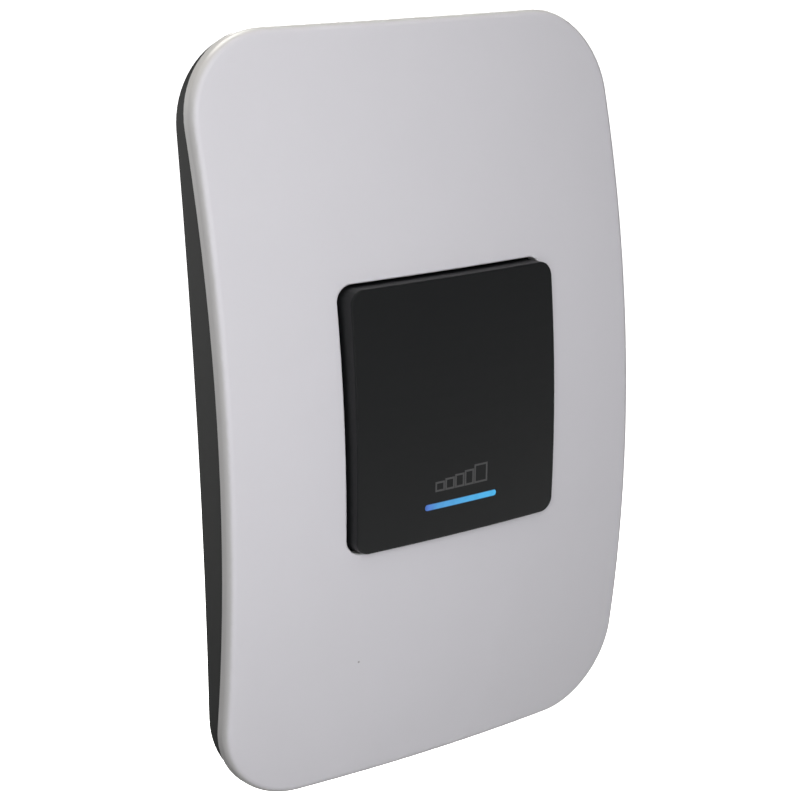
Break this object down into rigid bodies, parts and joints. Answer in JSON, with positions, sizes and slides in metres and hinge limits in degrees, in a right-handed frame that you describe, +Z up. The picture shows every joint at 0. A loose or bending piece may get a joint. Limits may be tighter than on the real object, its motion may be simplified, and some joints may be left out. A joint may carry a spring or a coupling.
{
  "type": "pushbutton dimmer",
  "caption": "Light dimmer on an arched wall plate with rounded corners: a square paddle button with a lit bar and a level symbol, over a housing that sits in the wall box.",
  "frame": {"origin": "midway between the wall screws, on the wall plane at the back of the base frame", "axes": "+X to the right seen from the front, +Z up, +Y into the wall; the front faces -Y"},
  "size_m": [0.079, 0.0403, 0.12],
  "materials": {
    "pale_cover": "satin",
    "black_frame": "satin",
    "black_chassis": "matte",
    "grey_housing": "matte",
    "charcoal_button": "satin",
    "light_bar": "clear, lit blue",
    "symbol_grey": "matte",
    "zinc_screw": "zinc plated",
    "black_screw": "black oxide",
    "spring_steel": "bright",
    "board": "glass fibre laminate",
    "led": "clear resin",
    "switch_body": "matte",
    "switch_plunger": "matte",
    "chip": "moulded resin",
    "ferrite": "sintered",
    "copper_wire": "enamelled",
    "film_case": "matte",
    "can_sleeve": "sleeved",
    "fuse_case": "matte",
    "resistor": "lacquered",
    "transistor": "moulded resin",
    "sink_aluminium": "mill finish",
    "terminal_brass": "turned"
  },
  "bodies": {
    "fixed": {"cover_plate": "pale_cover", "base_frame": "black_frame", "front_chassis": "black_chassis", "rear_housing": "grey_housing", "fixing_screws": "zinc_screw", "housing_screws": "black_screw", "heat_sink_screws": "zinc_screw", "return_springs": "spring_steel", "main_board": "board", "indicator_leds": "led", "tact_switch": "switch_body", "controller_chip": "chip", "choke_core": "ferrite", "choke_winding": "copper_wire", "film_capacitor": "film_case", "supply_capacitor": "can_sleeve", "fuse": "fuse_case", "resistors": "resistor", "power_transistors": "transistor", "heat_sink": "sink_aluminium", "terminal_clamps": "terminal_brass", "terminal_screws": "zinc_screw"},
    "button": {"push_button": "charcoal_button", "light_guide": "light_bar", "level_symbol": "symbol_grey"},
    "plunger": {"tact_plunger": "switch_plunger"}
  },
  "joints": [
    {"name": "button_press", "type": "hinge", "parent": "fixed", "child": "button", "pos_m": [0, -0.0071, -0.01645], "axis": [-1, 0, 0], "range_deg": [0, 1.9], "stiffness_Nm_per_rad": 0.5, "springref_deg": -5.73, "deforming": ["return_springs"]},
    {"name": "plunger_slide", "type": "slide", "parent": "fixed", "child": "plunger", "axis": [0, 1, 0], "range_m": [0, 0.00095]}
  ],
  "couplings": [
    {"joint": "plunger_slide", "follows": "button_press", "m_per_rad": 0.0285}
  ]
}
